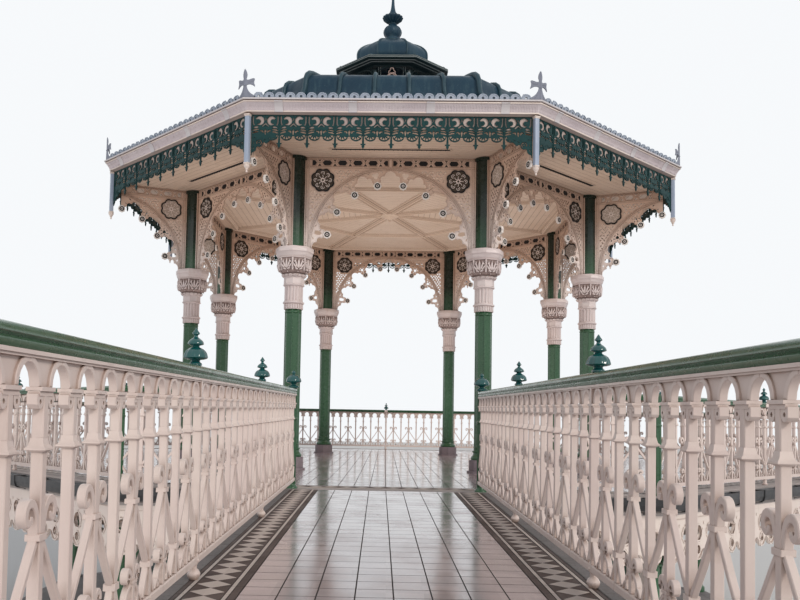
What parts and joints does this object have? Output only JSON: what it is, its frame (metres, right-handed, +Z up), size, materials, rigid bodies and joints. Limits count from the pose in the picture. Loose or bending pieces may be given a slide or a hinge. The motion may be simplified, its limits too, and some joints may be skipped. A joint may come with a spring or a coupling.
{
  "type": "octagonal bandstand with an access bridge",
  "caption": "Octagonal cast-iron bandstand with fretwork arches and a lantern roof, on a raised deck that an access bridge reaches.",
  "frame": {"origin": "middle of the octagon on the ground, at the underside of the base plinth", "axes": "+Z up; the access bridge leaves the deck towards -Y; +X to the right of someone on the bridge who faces the bandstand"},
  "size_m": [15.46, 25.6584, 13.37],
  "materials": {
    "cream_iron": "satin paint on cast iron",
    "green_iron": "gloss paint on cast iron",
    "valance_iron": "gloss paint on cast iron",
    "crest_iron": "satin paint on cast iron",
    "cream_boards": "satin paint on boards",
    "green_joinery": "gloss paint on joinery",
    "window_glass": "clear",
    "painted_render": "painted render",
    "coping_stone": "dressed stone",
    "plinth_stone": "trowelled",
    "column_stone": "dressed stone",
    "floor_tiles": "worn matt tiles",
    "black_gutter": "black paint",
    "roof_sheet": "weathered lead-grey sheet",
    "lantern_paint": "dark paint"
  },
  "bodies": {
    "root": {"base_plinth": "plinth_stone", "lower_wall": "painted_render", "lower_frames": "green_joinery", "lower_glass": "window_glass", "verandah_posts": "green_iron", "deck_beams": "painted_render", "deck_slab": "floor_tiles", "deck_coping": "coping_stone", "deck_gutter": "black_gutter", "deck_fringe": "cream_boards", "bridge_deck": "floor_tiles", "bridge_girders": "cream_iron", "bridge_pier": "plinth_stone", "bridge_balustrades": "cream_iron", "deck_balustrade_left": "cream_iron", "deck_balustrade_right": "cream_iron", "deck_balustrade_back": "cream_iron", "bridge_newels": "green_iron", "rail_finials": "green_iron", "deck_newels": "green_iron", "handrails": "green_iron", "column_blocks": "column_stone", "columns": "green_iron", "capitals": "cream_iron", "arch_1": "cream_iron", "arch_2": "cream_iron", "arch_3": "cream_iron", "arch_4": "cream_iron", "arch_5": "cream_iron", "arch_6": "cream_iron", "arch_7": "cream_iron", "arch_8": "cream_iron", "eave_brackets": "cream_iron", "ceiling": "cream_boards", "ceiling_ribs": "cream_boards", "cornice": "cream_boards", "valance": "valance_iron", "drop_posts": "cream_boards", "crest": "crest_iron", "corner_crosses": "crest_iron", "dome": "roof_sheet", "dome_rolls": "roof_sheet", "lantern": "lantern_paint", "lantern_roof": "roof_sheet", "finial": "roof_sheet"}
  },
  "joints": []
}
